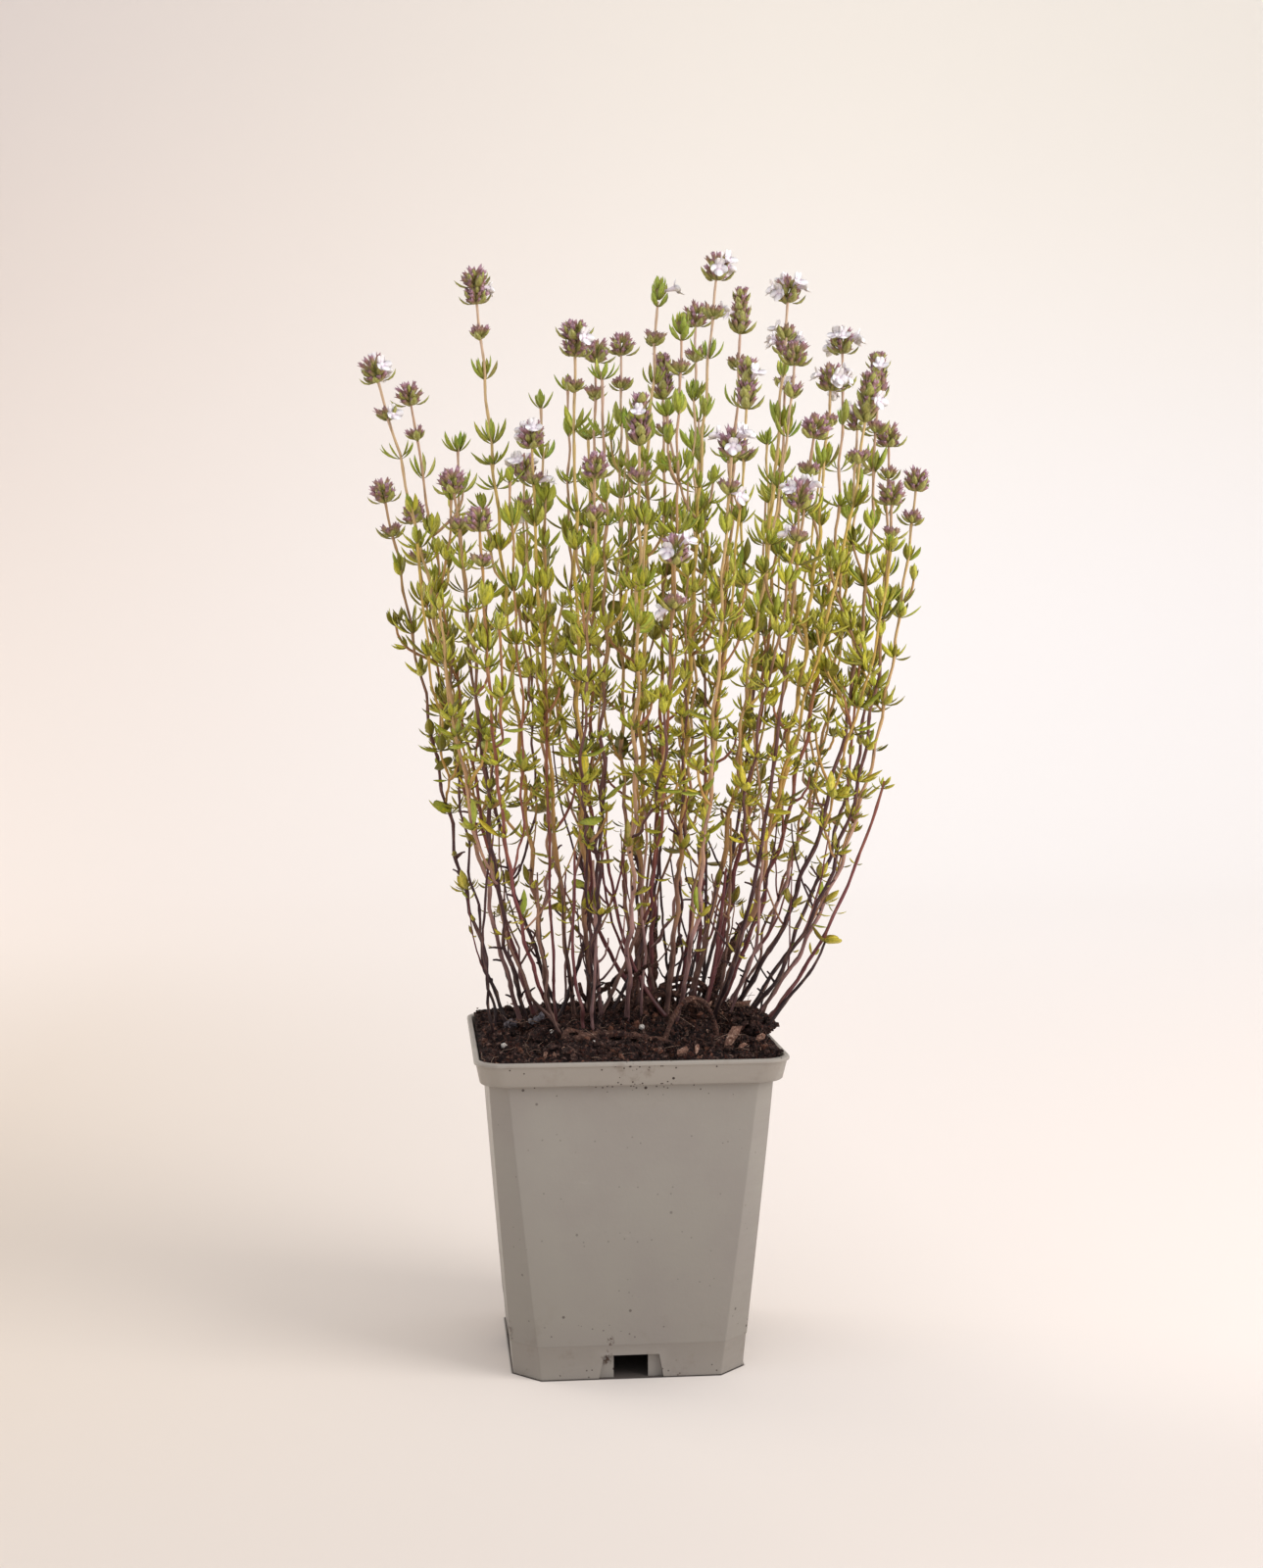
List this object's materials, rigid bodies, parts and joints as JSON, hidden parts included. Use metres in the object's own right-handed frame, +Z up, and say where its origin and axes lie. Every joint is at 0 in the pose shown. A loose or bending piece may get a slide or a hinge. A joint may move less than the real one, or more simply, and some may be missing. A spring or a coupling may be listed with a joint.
{
  "type": "potted common thyme",
  "caption": "Common thyme in flower: a fan of thin woody stems with small paired leaves and round purple-brown flower heads, in a square grey plastic nursery pot.",
  "frame": {"origin": "centre of the bottom of the whole plant's bounding box, on the surface that the pot stands on; the pot's own axis is 11.2 mm towards -X of it, because the plant leans towards +X", "axes": "+Z up, along the height; +X to the right and +Y away, seen from the pot's front side; the pot's sides are parallel to X and Y"},
  "size_m": [0.1711, 0.1289, 0.3247],
  "materials": {
    "pot_plastic": "matte",
    "soil": "matte",
    "wood": "matte",
    "sprig": "matte",
    "head": "matte"
  },
  "bodies": {
    "root": {"pot": "pot_plastic", "soil": "soil", "runner": "wood", "sprig_01": "sprig", "sprig_02": "sprig", "sprig_03": "sprig", "sprig_04": "sprig", "sprig_05": "sprig", "sprig_06": "sprig", "sprig_07": "sprig", "sprig_08": "sprig", "sprig_09": "sprig", "sprig_10": "sprig", "sprig_11": "sprig", "sprig_12": "sprig", "sprig_13": "sprig", "sprig_14": "sprig", "sprig_15": "sprig", "sprig_16": "sprig", "sprig_17": "sprig", "sprig_18": "sprig", "sprig_19": "sprig", "sprig_20": "sprig", "sprig_21": "sprig", "sprig_22": "sprig", "sprig_23": "sprig", "sprig_24": "sprig", "sprig_25": "sprig", "sprig_26": "sprig", "sprig_27": "sprig", "sprig_28": "sprig", "sprig_29": "sprig", "sprig_30": "sprig", "sprig_31": "sprig", "head_01": "head", "head_02": "head", "head_03": "head", "head_04": "head", "head_05": "head", "head_07": "head", "head_08": "head", "head_10": "head", "head_12": "head", "head_13": "head", "head_14": "head", "head_15": "head", "head_16": "head", "head_18": "head", "head_19": "head", "head_20": "head", "head_21": "head", "head_22": "head", "head_23": "head", "head_25": "head", "head_26": "head", "head_27": "head", "head_28": "head", "head_29": "head", "head_30": "head", "head_31": "head"}
  },
  "joints": []
}
